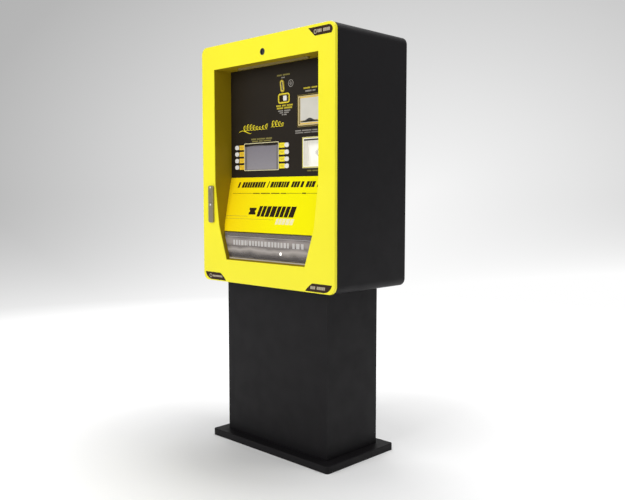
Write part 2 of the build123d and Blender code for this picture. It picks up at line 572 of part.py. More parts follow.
# ---------------------------------------------------------------- units behind the lower fascia
PRINTER_X, ROLL_R, ROLL_W, ROLL_DEPTH, ROLL_Z, SPINDLE_R = -200.0, 38.0, 80.0, 175.0, 1166.0, 8.0
COIN_BOX_X, DISPENSER_X = -50.0, 90.0
UNIT_W, UNIT_FRONT, UNIT_BACK = 110.0, 104.0, 225.0      # depths are behind the door's face
UNIT_H, DISPENSER_H, MAGAZINE_H = 150.0, 70.0, 215.0
MOUTH_FRONT, MOUTH_BACK = 108.0, 124.0
SHELF_X, SHELF_FRONT = 275.0, 40.0


def make_device_shelf():
    """Shelf over the tray, with a slot under each unit that drops into it."""
    top = SHELF_Z + SHELF_T
    shelf = block(-SHELF_X, SHELF_X, FRONT + SHELF_FRONT, FRONT + DOOR_BACK, SHELF_Z, top)
    y0, y1 = FRONT + MOUTH_FRONT - 2, FRONT + MOUTH_BACK + 2
    for x in (PRINTER_X, COIN_BOX_X, DISPENSER_X):
        shelf -= block(x - 35, x + 35, y0, y1, SHELF_Z, top)
    save("device_shelf", shelf)


def drop_unit(x, height, mouth_half):
    """Casing that stands on the shelf, with a mouth in its floor."""
    floor = SHELF_Z + SHELF_T
    half = UNIT_W / 2
    unit = casing(x - half, x + half, FRONT + UNIT_FRONT, FRONT + UNIT_BACK, floor, floor + height)
    y0, y1 = FRONT + MOUTH_FRONT, FRONT + MOUTH_BACK
    return unit - block(x - mouth_half, x + mouth_half, y0, y1, floor, floor + 1.5)


def make_receipt_printer():
    """Printer with a spindle between two cheeks, and the roll that turns on it."""
    x0, x1 = PRINTER_X - UNIT_W / 2, PRINTER_X + UNIT_W / 2
    top = SHELF_Z + SHELF_T + UNIT_H
    body = drop_unit(PRINTER_X, UNIT_H, 32)
    y = FRONT + ROLL_DEPTH
    for x in (x0, x1 - 3):
        body += block(x, x + 3, y - 12, y + 12, top, ROLL_Z + 12)
    body += rod_x(y, ROLL_Z, SPINDLE_R, x0 + 3, x1 - 3)
    save("receipt_printer", body)
    x0, x1 = PRINTER_X - ROLL_W / 2, PRINTER_X + ROLL_W / 2
    save("paper_roll", rod_x(y, ROLL_Z, ROLL_R, x0, x1) - rod_x(y, ROLL_Z, SPINDLE_R + RUNNING, x0, x1))


def make_dispenser_and_coin_box():
    """Card dispenser with its open-topped magazine, and the locked coin box."""
    floor = SHELF_Z + SHELF_T
    x, y0, y1 = DISPENSER_X, FRONT + 130, FRONT + 195
    magazine = block(x - 45, x + 45, y0, y1, floor + DISPENSER_H, floor + MAGAZINE_H)
    magazine -= block(x - 43, x + 43, y0 + 2, y1 - 2, floor + DISPENSER_H + 2, floor + MAGAZINE_H)
    save("card_dispenser", drop_unit(DISPENSER_X, DISPENSER_H, 32) + magazine)
    box = drop_unit(COIN_BOX_X, UNIT_H, 30)
    save("coin_box", box + rod_y(COIN_BOX_X, floor + UNIT_H / 2, 9, FRONT + UNIT_BACK, FRONT + UNIT_BACK + 6))


def make_dispensing_tray():
    y0, y1 = FRONT + TRAY_FRONT, FRONT + TRAY_DEPTH
    tray = upright(opening_outline(LINER_T), y0, y1) - upright(opening_outline(), y0, y1 - LINER_T)
    save("dispensing_tray", tray - block(-400, 400, y0, y1, FASCIA_FOOT_Z, 1700))


def make_flap():
    y, z = FRONT + FLAP_AXIS_DEPTH, FLAP_AXIS_Z
    reach = FLAP_REACH
    leaf = upright(opening_outline(-2), y - FLAP_KNUCKLE_R, y - FLAP_KNUCKLE_R + FLAP_T)
    leaf &= block(-400, 400, FRONT, PANEL_Y, FLAP_FOOT_Z, z)
    shoulder = z - FLAP_KNUCKLE_R - 4.5
    leaf -= block(reach, 400, FRONT, PANEL_Y, shoulder, z)
    leaf -= block(-400, -reach, FRONT, PANEL_Y, shoulder, z)
    leaf += rod_x(y, z, FLAP_KNUCKLE_R, -reach, reach)
    leaf -= rod_x(y, z, FLAP_PIN_R + RUNNING, -reach, reach)
    save("dispensing_flap", leaf)

    pin = rod_x(y, z, FLAP_PIN_R, -reach - 4, reach + 4)
    ear = block(reach + 0.5, reach + 30, y - 5.5, y + 5.5, z - 6, z + 6)
    ears = ear + block(-reach - 30, -reach - 0.5, y - 5.5, y + 5.5, z - 6, z + 6)
    save("flap_hinge_pin", pin + (ears & upright(opening_outline(), FRONT, PANEL_Y)))


# ---------------------------------------------------------------- swing handle and lock
def make_handle():
    mid = (HANDLE_TOP + HANDLE_FOOT) / 2
    face = FRONT - ESCUTCHEON_T
    plate = rounded(HANDLE_X, mid, HANDLE_W + 6, HANDLE_TOP - HANDLE_FOOT + 8, 10)
    escutcheon = upright(plate, face, FRONT)
    escutcheon = fillet(escutcheon.edges().group_by(Axis.Y)[0], 1)
    save("handle_escutcheon", escutcheon - rod_y(HANDLE_X, HUB_Z, SHAFT_R + RUNNING, face, FRONT))

    proud, under = FRONT - HANDLE_PROUD, face - SEAL_GAP
    outline = rounded(HANDLE_X, mid, HANDLE_W, HANDLE_TOP - HANDLE_FOOT, 9)
    bar = fillet(upright(outline, proud, under).edges().group_by(Axis.Y)[0], 2.5)
    left, right = HANDLE_X - HANDLE_W / 2, HANDLE_X + HANDLE_W / 2
    pivot_y = FRONT - LEVER_PIVOT_PROUD
    hub = bar & block(left, right, proud, under, HANDLE_SPLIT, HANDLE_TOP)
    for x0, x1 in ((left, left + 2), (right - 2, right)):
        hub += bar & block(x0, x1, proud, under, LEVER_PIVOT_Z - 4, HANDLE_SPLIT)
    hub -= rod_x(pivot_y, LEVER_PIVOT_Z, 1.2 + RUNNING, left, right)
    hub -= rod_y(HANDLE_X, HUB_Z, 11 + RUNNING, proud, proud + 5)
    hub += rod_y(HANDLE_X, HUB_Z, SHAFT_R, under, FRONT + CAM_DEPTH)
    save("handle_hub", hub)

    plug = rod_y(HANDLE_X, HUB_Z, 11, proud, proud + 4.7)
    plug -= upright(Pos(HANDLE_X, HUB_Z) * Rectangle(1.6, 9), proud, proud + 3)
    save("lock_cylinder", plug)

    low_top = HANDLE_SPLIT - 0.5
    lever = bar & block(left, right, proud, under, HANDLE_FOOT, low_top)
    for x0, x1 in ((left, left + 2.3), (right - 2.3, right)):
        lever -= block(x0, x1, proud, under, LEVER_PIVOT_Z - 5.2, low_top)
    lever -= block(left, right, proud, pivot_y, LEVER_PIVOT_Z, low_top)
    lever -= block(left, right, pivot_y, under, LEVER_PIVOT_Z + 1, low_top)
    lever += rod_x(pivot_y, LEVER_PIVOT_Z, 2.0, left + 2.3, right - 2.3)
    lever += rod_x(pivot_y, LEVER_PIVOT_Z, 1.2, left + 0.5, right - 0.5)
    save("handle_lever", lever)

    cam = rod_y(HANDLE_X, HUB_Z, CAM_R, FRONT + CAM_DEPTH, FRONT + CAM_DEPTH + 4)
    for angle in (-45, 135):
        x = HANDLE_X + CAM_PIN_ORBIT * math.cos(math.radians(angle))
        z = HUB_Z + CAM_PIN_ORBIT * math.sin(math.radians(angle))
        cam += rod_y(x, z, CAM_PIN_R, FRONT + CAM_DEPTH + 4, FRONT + ROD_DEPTH + ROD_T)
    save("lock_cam", cam)


ROD_OVERLAP, GUIDE_ZS_UP, GUIDE_ZS_DOWN = 24.0, (1280.0, 1620.0), (780.0, 900.0)


def make_lock_rods():
    y0, y1 = FRONT + ROD_DEPTH, FRONT + ROD_DEPTH + ROD_T
    drop = CAM_PIN_ORBIT * math.sin(math.radians(45))
    specs = (("lock_rod_lower", 1, 760.0, HUB_Z + ROD_OVERLAP, HUB_Z - drop),
             ("lock_rod_upper", -1, HUB_Z - ROD_OVERLAP, 1684.0, HUB_Z + drop))
    for name, side, z0, z1, slot_z in specs:
        x_near, x_far = HANDLE_X + side * 3, HANDLE_X + side * (3 + ROD_W)
        rod = block(min(x_near, x_far), max(x_near, x_far), y0, y1, z0, z1)
        slot_x = HANDLE_X + side * 10.25
        slot = Pos(slot_x, slot_z) * Rectangle(9.5, 2 * CAM_PIN_R + 1.2)
        save(name, rod - upright(slot, y0, y1))
    bearing = upright(rounded(HANDLE_X, HUB_Z, 34, 48, 4), FRONT + SHEET, FRONT + CAM_DEPTH - 0.5)
    guides = [bearing - rod_y(HANDLE_X, HUB_Z, SHAFT_R + RUNNING, FRONT + SHEET, FRONT + CAM_DEPTH)]
    for side, heights in ((-1, GUIDE_ZS_UP), (1, GUIDE_ZS_DOWN)):
        x = HANDLE_X + side * (3 + ROD_W / 2)
        for z in heights:
            guide = block(x - 11, x + 11, FRONT + SHEET, y1 + 3, z - 8, z + 8)
            slot = block(x - ROD_W / 2 - 0.3, x + ROD_W / 2 + 0.3, y0 - 0.3, y1 + 0.3, z - 8, z + 8)
            guides.append(guide - slot)
    save("lock_guides", *guides)


def make_corner_badges():
    """Thin blank plates in three corners of the door's face."""
    top_edge = TOP - 12
    arc_x, arc_z = CABINET_W / 2 - CORNER_R, TOP - CORNER_R
    radius = CORNER_R - 12
    cut = math.radians(45)
    corner = (arc_x + radius * math.cos(cut), arc_z + radius * math.sin(cut))
    with BuildSketch() as upper:
        with BuildLine():
            Line((262, top_edge), (arc_x, top_edge))
            ThreePointArc((arc_x, top_edge), corner, (arc_x + radius, arc_z))
            Line((arc_x + radius, arc_z), (arc_x + radius - 6, top_edge - 32))
            Line((arc_x + radius - 6, top_edge - 32), (296, top_edge - 32))
            ThreePointArc((296, top_edge - 32), (283, top_edge - 20), (262, top_edge))
        make_face()
    low = CABINET_Z + 5
    with BuildSketch() as lower:
        with BuildLine():
            Line((282, low + 32), (386, low + 32))
            ThreePointArc((386, low + 32), (373, low + 12), (342, low))
            Line((342, low), (244, low))
            ThreePointArc((244, low), (262, low + 18), (282, low + 32))
        make_face()
    right = lower.sketch
    left = mirror(right, about=Plane.YZ)
    save("corner_badges", *[upright(face, FRONT - 1, FRONT) for face in (upper.sketch, right, left)])


# ---------------------------------------------------------------- build and write
for make in (make_base_plate, make_pedestal_shell, make_pedestal_cover, make_frame_bolts,
             make_cabinet_shell, make_rear_panel, make_cover_screws, make_exhaust_hood, make_fan,
             make_hinges, make_equipment, make_door_frame, make_door_stiffener, make_recess_liner,
             make_light_strip, make_lower_fascia, make_user_panel, make_display, make_buttons,
             make_coin_units, make_note_units, make_card_pocket, make_camera, make_device_shelf,
             make_receipt_printer, make_dispenser_and_coin_box, make_dispensing_tray, make_flap,
             make_handle, make_lock_rods, make_corner_badges):
    make()

os.makedirs("parts", exist_ok=True)
for name, shape in parts.items():
    export_step(shape, f"parts/{name}.step")
print(len(parts), "nodes")
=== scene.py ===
import bpy
import bmesh
import json
import math
import random
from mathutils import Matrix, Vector


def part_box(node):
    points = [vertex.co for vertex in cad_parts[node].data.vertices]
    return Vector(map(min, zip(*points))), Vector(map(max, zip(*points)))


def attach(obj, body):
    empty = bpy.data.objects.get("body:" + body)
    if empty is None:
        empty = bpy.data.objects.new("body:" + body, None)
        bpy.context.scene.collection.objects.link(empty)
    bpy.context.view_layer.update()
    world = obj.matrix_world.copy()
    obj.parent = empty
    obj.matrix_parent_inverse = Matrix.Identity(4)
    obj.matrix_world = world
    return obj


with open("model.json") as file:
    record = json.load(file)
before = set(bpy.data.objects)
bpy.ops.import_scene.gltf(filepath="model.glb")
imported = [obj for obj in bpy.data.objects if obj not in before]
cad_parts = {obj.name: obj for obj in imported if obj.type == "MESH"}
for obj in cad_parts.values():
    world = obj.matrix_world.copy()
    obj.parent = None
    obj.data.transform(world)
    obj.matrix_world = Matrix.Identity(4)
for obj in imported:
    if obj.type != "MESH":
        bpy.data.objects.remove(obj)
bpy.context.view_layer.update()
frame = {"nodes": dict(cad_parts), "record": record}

MM = 0.001
NODES = frame["nodes"]


# ------------------------------------------------------------------ camera
# Lens and place of the viewpoint: to the right of the door, a little above the machine's middle
# height, looking 4 degrees down.
LENS_MM, SENSOR_MM = 42.99, 36.0
CAMERA_FROM_DOOR = Vector((2.2898, -2.0550, 1.0912))
CAMERA_YAW, CAMERA_PITCH = math.radians(44.313), math.radians(4.322)
DOOR_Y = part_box("door_frame")[0].y


def make_camera():
    data = bpy.data.cameras.new("camera")
    data.lens, data.sensor_width, data.sensor_fit = LENS_MM, SENSOR_MM, "HORIZONTAL"
    camera = bpy.data.objects.new("camera", data)
    bpy.context.scene.collection.objects.link(camera)
    camera.location = CAMERA_FROM_DOOR + Vector((0, DOOR_Y, 0))
    level = math.cos(CAMERA_PITCH)
    aim = Vector((-math.sin(CAMERA_YAW) * level, math.cos(CAMERA_YAW) * level, -math.sin(CAMERA_PITCH)))
    camera.rotation_euler = aim.to_track_quat("-Z", "Y").to_euler()
    bpy.context.scene.camera = camera


make_camera()


# ------------------------------------------------------------------ materials
# The part of a noise texture's values in which a colour or a roughness changes.
NOISE_LOW, NOISE_HIGH = 0.3, 0.7
# Depth of the bumps, in metres.
PEEL_DEPTH, GRAIN_DEPTH = 0.0004, 0.0002


class Shader:
    """A node material on one Principled shader, with helpers for grain, dust and bump."""

    def __init__(self, name, **sockets):
        self.material = bpy.data.materials.new(name)
        self.material.use_nodes = True
        self.tree = self.material.node_tree
        self.shader = self.tree.nodes["Principled BSDF"]
        self.place = self.tree.nodes.new("ShaderNodeTexCoord").outputs["Object"]
        for socket, value in sockets.items():
            self.shader.inputs[socket.replace("_", " ")].default_value = value

    def node(self, kind, **settings):
        made = self.tree.nodes.new(kind)
        for key, value in settings.items():
            if key in made.inputs:
                made.inputs[key].default_value = value
            else:
                setattr(made, key, value)
        return made

    def link(self, source, target):
        self.tree.links.new(source, target)

    def colour(self, source):
        self.link(source, self.shader.inputs["Base Color"])

    def roughness(self, source):
        self.link(source, self.shader.inputs["Roughness"])

    def noise(self, per_metre, detail=3.0, stretch=(1, 1, 1)):
        mapping = self.node("ShaderNodeMapping")
        mapping.inputs["Scale"].default_value = stretch
        texture = self.node("ShaderNodeTexNoise", Scale=per_metre, Detail=detail)
        self.link(self.place, mapping.inputs["Vector"])
        self.link(mapping.outputs["Vector"], texture.inputs["Vector"])
        return texture.outputs["Fac"]

    def ramp(self, fac, stops):
        ramp = self.node("ShaderNodeValToRGB")
        elements = ramp.color_ramp.elements
        while len(elements) < len(stops):
            elements.new(0.5)
        for element, (place, colour) in zip(elements, stops):
            element.position = place
            element.color = (*colour, 1)
        self.link(fac, ramp.inputs["Fac"])
        return ramp.outputs["Color"]

    def tones(self, noise, low, high):
        """Colours between low and high, as a noise texture rises."""
        return self.ramp(noise, [(NOISE_LOW, low), (NOISE_HIGH, high)])

    def grey(self, noise, low, high):
        return self.tones(noise, (low,) * 3, (high,) * 3)

    def between(self, value, start, end):
        """How far a value has come from start to end, from 0 to 1."""
        reach = self.node("ShaderNodeMapRange")
        reach.inputs["From Min"].default_value = start
        reach.inputs["From Max"].default_value = end
        self.link(value, reach.inputs["Value"])
        return reach.outputs["Result"]

    def along(self, axis, start, end):
        """How far a point lies from start to end along one axis, from 0 to 1."""
        split = self.node("ShaderNodeSeparateXYZ")
        self.link(self.place, split.inputs["Vector"])
        return self.between(split.outputs[axis], start, end)

    def vector_math(self, operation, source, other=None):
        made = self.node("ShaderNodeVectorMath", operation=operation)
        self.link(source, made.inputs[0])
        if other is not None:
            made.inputs[1].default_value = other
        return made.outputs["Value" if operation in ("LENGTH", "DOT_PRODUCT") else "Vector"]

    def bump(self, height, strength, depth):
        bump = self.node("ShaderNodeBump", Strength=strength, Distance=depth)
        self.link(height, bump.inputs["Height"])
        self.link(bump.outputs["Normal"], self.shader.inputs["Normal"])


def tint(colour, factor):
    return tuple(min(1.0, c * factor) for c in colour)


def powder_coat(name, colour, roughness, peel=0.12, grain=900, drift=0.05, coat=0.0, gloss=0.5):
    """Sprayed powder coat: fine orange peel, faint colour drift and a little dust in the sheen."""
    look = Shader(name, Coat_Weight=coat, Coat_Roughness=0.12, Specular_IOR_Level=gloss)
    look.colour(look.tones(look.noise(3.0, detail=4), tint(colour, 1 - drift), colour))
    look.roughness(look.grey(look.noise(14, detail=5), roughness - 0.05, roughness + 0.07))
    look.bump(look.noise(grain, detail=2), peel, PEEL_DEPTH)
    return look.material


def brushed_metal(name, colour, roughness, stretch=(1, 1, 30), metallic=1.0):
    """Metal with fine drawn-out lines, across the axis of the largest stretch."""
    look = Shader(name, Metallic=metallic)
    lines = look.noise(60, 4, stretch)
    look.colour(look.tones(lines, tint(colour, 0.82), colour))
    look.roughness(look.grey(lines, roughness - 0.08, roughness + 0.08))
    look.bump(lines, 0.15, GRAIN_DEPTH)
    return look.material


def moulded(name, colour, roughness, strength=0.1, **sockets):
    """Moulded plastic with a fine spark-eroded grain."""
    look = Shader(name, **sockets)
    patches = look.noise(22, detail=4)
    look.colour(look.tones(patches, tint(colour, 0.92), colour))
    look.roughness(look.grey(patches, roughness - 0.04, roughness + 0.06))
    look.bump(look.noise(1500, detail=2), strength, GRAIN_DEPTH)
    return look.material


def zinc_plate(name):
    """Galvanised sheet with its spangle of crystals."""
    look = Shader(name, Metallic=0.9)
    cells = look.node("ShaderNodeTexVoronoi", Scale=160.0)
    look.link(look.place, cells.inputs["Vector"])
    dark, pale = (0.40, 0.41, 0.43), (0.62, 0.63, 0.64)
    look.colour(look.ramp(cells.outputs["Distance"], [(0.0, dark), (1.0, pale)]))
    look.roughness(look.grey(look.noise(30), 0.34, 0.5))
    return look.material


def printed(name, colour, roughness, gloss=0.2):
    """Screen-printed ink: flat colour with a faint uneven lay-down."""
    look = Shader(name, Specular_IOR_Level=gloss)
    lay = look.noise(70, detail=3)
    look.colour(look.ramp(lay, [(0.35, tint(colour, 0.93)), (0.65, colour)]))
    look.roughness(look.grey(lay, roughness - 0.04, roughness + 0.05))
    return look.material


def scratch(look, low, high):
    """Fine level scratches of handling, on the clear sheet and on what is printed on it."""
    scratches = look.noise(40, 6, (1, 1, 9))
    look.roughness(look.grey(scratches, low, high))
    look.bump(scratches, 0.05, GRAIN_DEPTH)


def clear_ink(name, colour, alpha):
    """Thin see-through ink on the clear sheet."""
    look = Shader(name, IOR=1.58, Alpha=alpha, Base_Color=(*colour, 1))
    scratch(look, 0.35, 0.47)
    return look.material


def smoked_sheet(name, alpha):
    """Smoked sheet with painted soft level reflections that waver along its length."""
    look = Shader(name, IOR=1.58, Alpha=alpha)
    flap_low, flap_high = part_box("dispensing_flap")
    wavering = look.node("ShaderNodeMath", operation="MULTIPLY_ADD")
    look.link(look.noise(11, detail=2), wavering.inputs[0])
    wavering.inputs[1].default_value = REFLECTION_WAVER
    look.link(look.along("Z", flap_low.z, flap_high.z), wavering.inputs[2])
    look.colour(look.ramp(wavering.outputs["Value"], SMOKE_AND_REFLECTIONS))
    scratch(look, 0.12, 0.26)
    return look.material


def fascia_sheet(name):
    """Printed vinyl on the fascia: lemon on the right, with a painted warm reflection that deepens towards
    the left.
    """
    look = Shader(name, Specular_IOR_Level=0.06)
    # The warm tone is a painted reflection of the recess's yellow wall.
    warm_reflection, lemon = (0.93, 0.66, 0.004), (0.95, 0.88, 0.001)
    warm_reflection_x, lemon_x = -0.30, 0.05
    look.colour(look.ramp(look.along("X", warm_reflection_x, lemon_x), [(0.0, warm_reflection), (1.0, lemon)]))
    look.roughness(look.grey(look.noise(70), 0.33, 0.42))
    look.bump(look.noise(900, detail=2), 0.04, GRAIN_DEPTH)
    return look.material


def liquid_crystal(name):
    """Unlit display behind its glass: lilac grey, a little paler towards its foot."""
    look = Shader(name, Specular_IOR_Level=0.3, Coat_Weight=0.1)
    foot, head = (0.27, 0.255, 0.275), (0.20, 0.185, 0.21)
    low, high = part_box("display_glass")
    look.colour(look.ramp(look.along("Z", low.z, high.z), [(0.0, foot), (1.0, head)]))
    look.roughness(look.grey(look.noise(260, detail=2), 0.26, 0.34))
    return look.material


# Painted reflection bands over the smoked tint, by height up the flap, 0 to 1, to which a noise times the
# waver below is added.
SMOKE_AND_REFLECTIONS = [(0.18, (0.20, 0.175, 0.16)), (0.25, (0.08, 0.068, 0.062)), (0.34, (0.17, 0.15, 0.14)),
         (0.44, (0.40, 0.36, 0.33)), (0.50, (0.56, 0.51, 0.47)), (0.62, (0.25, 0.22, 0.205)),
         (0.74, (0.44, 0.39, 0.36)), (0.86, (0.42, 0.37, 0.35)), (0.97, (0.20, 0.175, 0.165))]
REFLECTION_WAVER = 0.24
GLOW = (1, 0.98, 0.92, 1)

M = {
    "body_black": powder_coat("body_black", (0.0072, 0.0065, 0.0076), 0.52, peel=0.22, grain=700,
                              drift=0.06, gloss=0.17),
    "door_yellow": powder_coat("door_yellow", (0.93, 0.845, 0.024), 0.34, peel=0.06, grain=500,
                               coat=0.06, gloss=0.3),
    # liner_yellow is painted shade: the door's yellow darkened to how the recess walls look in shade.
    "liner_yellow": powder_coat("liner_yellow", (0.34, 0.24, 0.006), 0.45, peel=0.06, grain=500,
                                gloss=0.15),
    "fascia_yellow": fascia_sheet("fascia_yellow"),
    "panel_black": powder_coat("panel_black", (0.0175, 0.013, 0.0085), 0.46, peel=0.05, grain=1200,
                               drift=0.2, gloss=0.16),
    "galvanised": zinc_plate("galvanised"),
    "steel": brushed_metal("steel", (0.42, 0.42, 0.42), 0.38, stretch=(1, 30, 1)),
    "zinc_casting": brushed_metal("zinc_casting", (0.34, 0.30, 0.20), 0.40, metallic=0.6),
    "chrome": brushed_metal("chrome", (0.72, 0.72, 0.72), 0.16),
    "frame_trim": powder_coat("frame_trim", (0.17, 0.16, 0.165), 0.40, gloss=0.25),
    "button_silver": moulded("button_silver", (0.80, 0.79, 0.76), 0.28, Coat_Weight=0.3),
    "bezel_cream": powder_coat("bezel_cream", (0.62, 0.49, 0.22), 0.40, gloss=0.3),
    "coin_gold": powder_coat("coin_gold", (0.40, 0.30, 0.03), 0.40, gloss=0.3),
    # The faint emission on pocket_white and pocket_grey is painted light that lifts these recessed surfaces
    # above what the lamps give them.
    "pocket_white": moulded("pocket_white", (0.86, 0.85, 0.80), 0.45,
                            Emission_Color=GLOW, Emission_Strength=0.14),
    "pocket_grey": moulded("pocket_grey", (0.52, 0.50, 0.44), 0.4,
                           Emission_Color=GLOW, Emission_Strength=0.12),
    "trim_cream": printed("trim_cream", (0.62, 0.56, 0.15), 0.35),
    "screen": liquid_crystal("screen"),
    "lens": moulded("lens", (0.012, 0.012, 0.016), 0.08, strength=0.0, Coat_Weight=1.0),
    "flap_clear": smoked_sheet("flap_clear", 0.62),
    "flap_ink": clear_ink("flap_ink", (0.90, 0.87, 0.84), 0.52),
    "rubber_black": moulded("rubber_black", (0.02, 0.02, 0.02), 0.75, strength=0.3),
    "lip_grey": moulded("lip_grey", (0.50, 0.46, 0.40), 0.35),
    "device_plastic": moulded("device_plastic", (0.035, 0.035, 0.04), 0.55, strength=0.2),
    "device_grey": powder_coat("device_grey", (0.25, 0.26, 0.27), 0.45),
    "light_diffuser": moulded("light_diffuser", (0.22, 0.17, 0.05), 0.5),
    "lamp": moulded("lamp", (0.9, 0.9, 0.86), 0.3, Emission_Color=GLOW, Emission_Strength=12.0),
    "paper": moulded("paper", (0.82, 0.82, 0.80), 0.85),
    "badge_black": printed("badge_black", (0.030, 0.012, 0.004), 0.4),
}
INKS = {
    "ink_brown": printed("ink_brown", (0.022, 0.012, 0.004), 0.45, gloss=0.1),
    "ink_yellow": printed("ink_yellow", (0.92, 0.76, 0.03), 0.4),
    "ink_amber": printed("ink_amber", (0.86, 0.55, 0.03), 0.4),
    "ink_mustard": printed("ink_mustard", (0.52, 0.42, 0.03), 0.4),
    "ink_gold": printed("ink_gold", (0.66, 0.50, 0.12), 0.4),
    "ink_olive": printed("ink_olive", (0.22, 0.19, 0.05), 0.45),
    "ink_grey": printed("ink_grey", (0.30, 0.28, 0.25), 0.45),
    "ink_white": printed("ink_white", (0.94, 0.86, 0.50), 0.4),
    "ink_badge": printed("ink_badge", (0.42, 0.36, 0.26), 0.4),
}
# A node wears the material of its slot, or the finish named here.
SLOT_OF = {row["node"]: row["material_slot"] for row in frame["record"]["subparts"]}
FINISH = {"coin_slot_bezel": "coin_gold", "coin_return_frame": "coin_gold", "lock_cylinder": "zinc_casting",
          "handle_escutcheon": "door_yellow", "note_inlet_bezel": "bezel_cream"}
for node_name, node in NODES.items():
    node.data.materials.clear()
    node.data.materials.append(M[FINISH.get(node_name, SLOT_OF[node_name])])


# ------------------------------------------------------------------ shapes, in millimetres
def rectangle(x0, x1, z0, z1, slant=0.0):
    shift = (z1 - z0) * slant
    return [(x0, z0), (x1, z0), (x1 + shift, z1), (x0 + shift, z1)]


def diamond(x, z, half_w, half_h):
    return [(x, z + half_h), (x - half_w, z), (x, z - half_h), (x + half_w, z)]


def arc(x, z, radius, start, end, steps=10):
    angles = [math.radians(start + (end - start) * i / steps) for i in range(steps + 1)]
    return [(x + radius * math.cos(a), z + radius * math.sin(a)) for a in angles]


def circle(x, z, radius, count=24):
    return arc(x, z, radius, 0, 360 - 360 / count, count - 1)


def round_box(x0, x1, z0, z1, radius, inset=0.0):
    """Rectangle with round corners, drawn inset from the given edges."""
    x0, x1, z0, z1 = x0 + inset, x1 - inset, z0 + inset, z1 - inset
    corners = ((x1 - radius, z1 - radius, 0), (x0 + radius, z1 - radius, 90),
               (x0 + radius, z0 + radius, 180), (x1 - radius, z0 + radius, 270))
    return [point for x, z, start in corners for point in arc(x, z, radius, start, start + 90, 6)]


def centred_box(x, z, half_w, half_h, radius):
    return round_box(x - half_w, x + half_w, z - half_h, z + half_h, radius)


def ticket_outline(x, z, width, height, notch):
    """Admission-ticket outline with a half-round bite in each end."""
    half_w, half_h = width / 2, height / 2
    right = [(x + half_w, z - half_h), *arc(x + half_w, z, notch, 270, 90, 8), (x + half_w, z + half_h)]
    left = [(x - half_w, z + half_h), *arc(x - half_w, z, notch, 90, -90, 8), (x - half_w, z - half_h)]
    return right + left


def band(outer, inner):
    """Quads between two outlines of the same length."""
    count = len(outer)
    return [[outer[i], outer[(i + 1) % count], inner[(i + 1) % count], inner[i]] for i in range(count)]


def heading(points, i):
    """Direction of a polyline at one of its points, as a unit vector."""
    ax, az = points[max(i - 1, 0)]
    bx, bz = points[min(i + 1, len(points) - 1)]
    length = math.hypot(bx - ax, bz - az) or 1.0
    return (bx - ax) / length, (bz - az) / length


def stroke(points, width):
    """Quads along a polyline, as wide as width (a number, or one for each point)."""
    widths = width if isinstance(width, list) else [width] * len(points)
    sides = []
    for i, (x, z) in enumerate(points):
        along_x, along_z = heading(points, i)
        dx, dz = -along_z * widths[i] / 2, along_x * widths[i] / 2
        sides.append(((x + dx, z + dz), (x - dx, z - dz)))
    return [[sides[i][1], sides[i + 1][1], sides[i + 1][0], sides[i][0]] for i in range(len(sides) - 1)]


def pen(points, thin, thick):
    """Calligraphic widths: thick where the pen travels down, thin elsewhere."""
    falls = [max(0.0, -heading(points, i)[1]) for i in range(len(points))]
    return [thin + (thick - thin) * fall for fall in falls]


def fractions(steps):
    return [step / steps for step in range(steps + 1)]


def block_line(x0, x1, z0, z1, words, seed, slant=0.0, gap=0.16):
    """A row of plain blocks that stands for a line of print; words gives the blocks in each group."""
    rng = random.Random(seed)
    space = 1.1
    widths = [[rng.uniform(0.7, 1.15) for _ in range(count)] for count in words]
    total = sum(sum(word) for word in widths) + gap * sum(len(word) - 1 for word in widths)
    total += space * (len(words) - 1)
    unit = (x1 - x0 - (z1 - z0) * slant) / total
    x, shapes = x0, []
    for word in widths:
        for width in word:
            shapes.append(rectangle(x, x + width * unit, z0, z1, slant))
            x += (width + gap) * unit
        x += (space - gap) * unit
    return shapes


# ------------------------------------------------------------------ pieces on the object's faces
class Face:
    """A flat working plane on the object: origin, direction across and direction up."""

    def __init__(self, origin, up=(0, 0, 1)):
        self.origin, self.across, self.up = Vector(origin), Vector((1, 0, 0)), Vector(up).normalized()
        self.out = self.across.cross(self.up)

    def at(self, x, z, lift):
        return self.origin + self.across * x + self.up * z + self.out * lift


def front_of(node, inward=0.0):
    """The upright plane of a node's front, or one so many millimetres behind it."""
    return Face((0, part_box(node)[0].y + inward * MM, 0))


def extent(node):
    """A node's left, right, foot and head, in millimetres."""
    low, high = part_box(node)
    return low.x / MM, high.x / MM, low.z / MM, high.z / MM


def middle(node):
    """Centre of a node, across and up, in millimetres."""
    x0, x1, z0, z1 = extent(node)
    return (x0 + x1) / 2, (z0 + z1) / 2


def build(name, polygons, face, lift, material, body, base):
    """One mesh of raised flat shapes: each polygon (x, z points) rises from base to lift on the face."""
    bm = bmesh.new()
    for polygon in polygons:
        low = [bm.verts.new(face.at(x, z, base)) for x, z in polygon]
        high = [bm.verts.new(face.at(x, z, lift)) for x, z in polygon]
        bm.faces.new(high)
        bm.faces.new(list(reversed(low)))
        for i in range(len(polygon)):
            j = (i + 1) % len(polygon)
            bm.faces.new((low[i], low[j], high[j], high[i]))
    bmesh.ops.recalc_face_normals(bm, faces=bm.faces)
    mesh = bpy.data.meshes.new(name)
    bm.to_mesh(mesh)
    bm.free()
    piece = bpy.data.objects.new(name, mesh)
    bpy.context.scene.collection.objects.link(piece)
    mesh.materials.append(material)
    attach(piece, body)


INK_LIFT = 0.25


def on_face(name, shapes, face, material, lift=INK_LIFT, base=0.0, body="door"):
    """Shapes given in millimetres, raised on a face of the object."""
    scaled = [[(x * MM, z * MM) for x, z in shape] for shape in shapes]
    build(name, scaled, face, lift * MM, material, body, base * MM)


# ------------------------------------------------------------------ the user panel's print
PANEL = front_of("user_panel")
KEY_ROWS = range(1, 5)


def panel_print(name, shapes, ink, lift=INK_LIFT, base=0.0):
    on_face(name, shapes, PANEL, INKS[ink], lift, base)


def proud_of_panel(node):
    """How far a node's front stands before the panel, in millimetres."""
    return (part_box("user_panel")[0].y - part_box(node)[0].y) / MM


